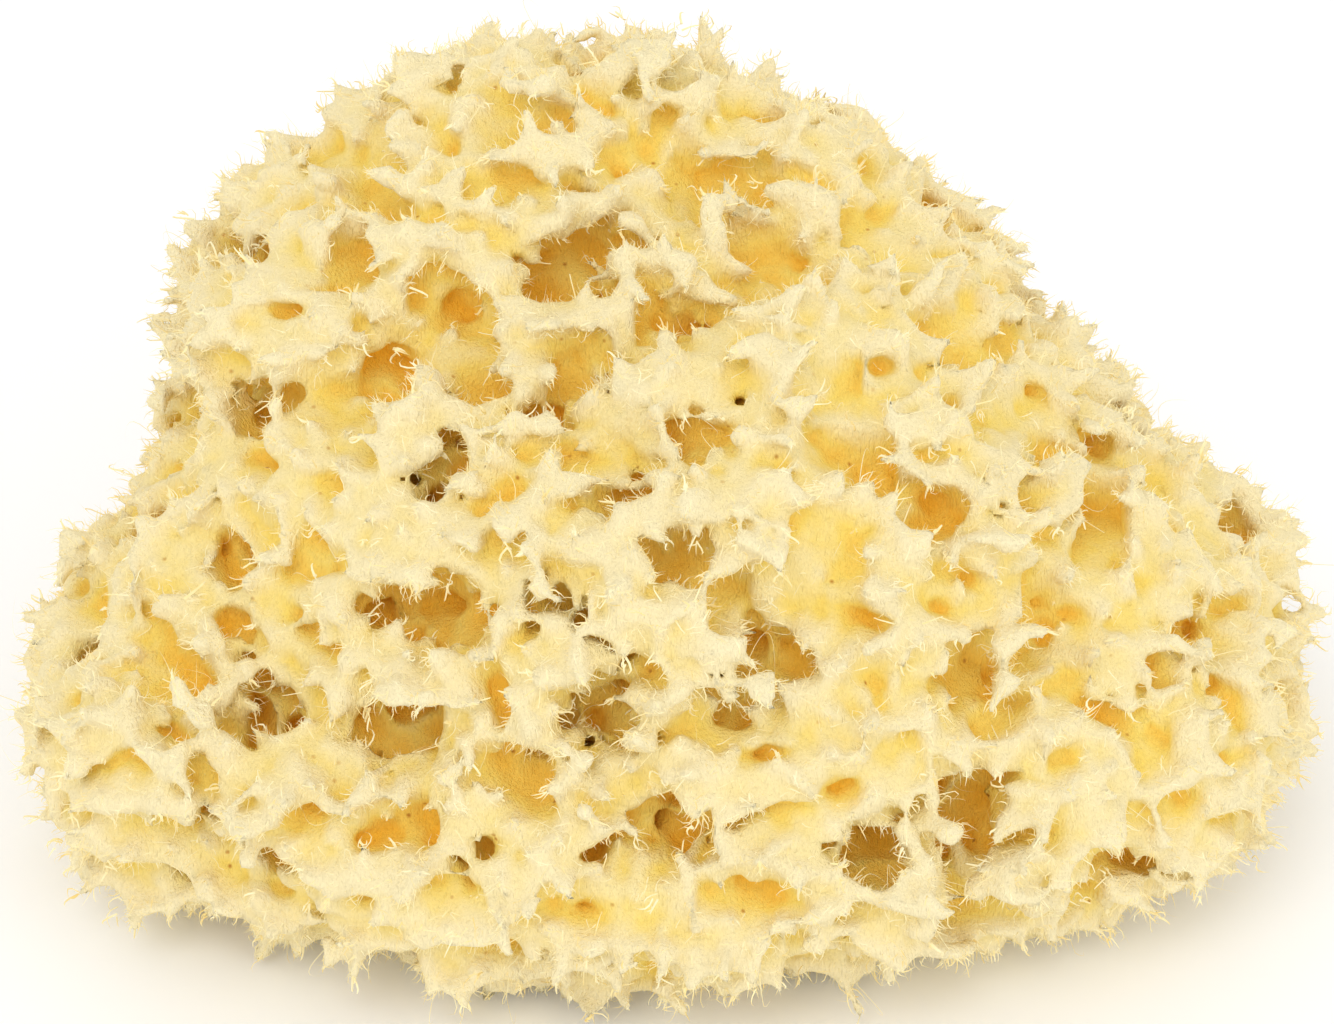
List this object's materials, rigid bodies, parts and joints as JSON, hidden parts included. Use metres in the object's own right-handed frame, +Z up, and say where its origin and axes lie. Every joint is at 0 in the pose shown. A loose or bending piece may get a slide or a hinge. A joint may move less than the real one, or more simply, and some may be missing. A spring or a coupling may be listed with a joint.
{
  "type": "natural bath sponge",
  "caption": "Lobed mound of pale, dried sponge with a pitted, tufted outside and a flat cut underneath that it rests on.",
  "frame": {"origin": "under the middle of the sponge's bounding box, on the flat cut that it rests on", "axes": "+X along the sponge's length, -Y to its low front, +Z up, out of the cut"},
  "size_m": [0.158, 0.123, 0.0906],
  "materials": {
    "felt": "matte"
  },
  "bodies": {
    "root": {"sponge": "felt"}
  },
  "joints": []
}
